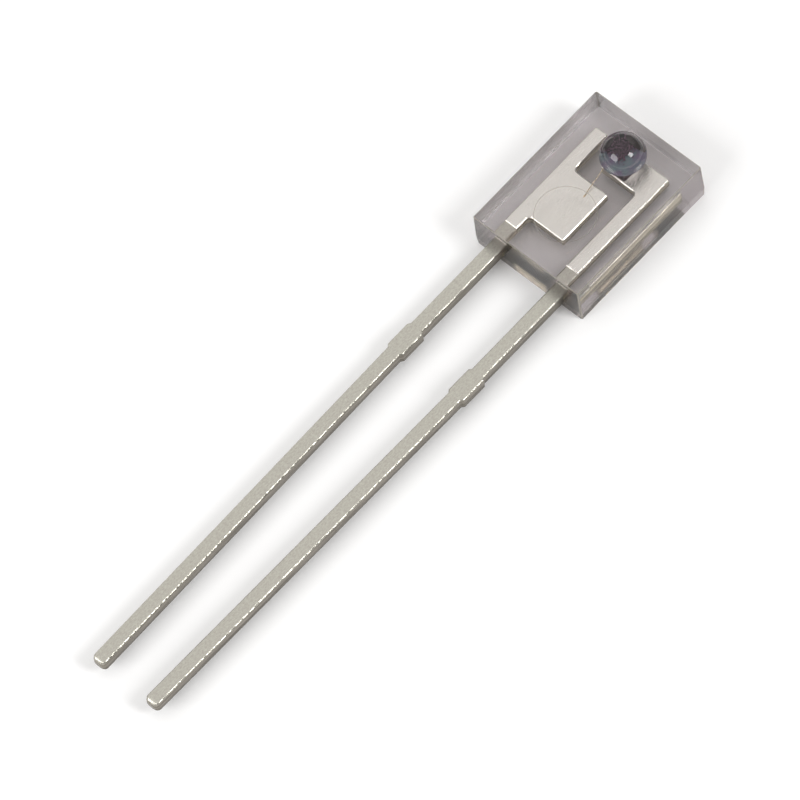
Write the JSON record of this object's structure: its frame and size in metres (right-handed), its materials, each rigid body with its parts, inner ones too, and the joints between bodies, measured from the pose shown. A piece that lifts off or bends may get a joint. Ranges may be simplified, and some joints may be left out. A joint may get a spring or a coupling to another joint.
{
  "type": "photodiode",
  "caption": "Side-looking photodiode in a flat clear epoxy package with a hemispherical lens and two long straight leads.",
  "frame": {"origin": "centre of the package's flat back face", "axes": "+Z out of the lens, +Y from the lead tips towards the far end of the package, +X from the bonding-pad lead towards the chip's lead"},
  "size_m": [0.0044, 0.0242, 0.0024],
  "materials": {
    "clear_epoxy": "clear moulded epoxy with a faint lavender-grey tint and a light satin on its sides",
    "plated_lead_frame": "stamped strip, satin silver inside the package and greenish-grey tin outside it",
    "silicon": "polished silicon with a dark blue-grey coating",
    "silver_glue": "silver-filled glue",
    "contact_metal": "dark, roughened metal film where the wire is bonded",
    "gold_wire": "drawn gold wire"
  },
  "bodies": {
    "root": {"epoxy_body": "clear_epoxy", "anode_lead": "plated_lead_frame", "cathode_lead": "plated_lead_frame", "photodiode_chip": "silicon", "die_attach": "silver_glue", "chip_contact": "contact_metal", "bond_wire": "gold_wire"}
  },
  "joints": []
}
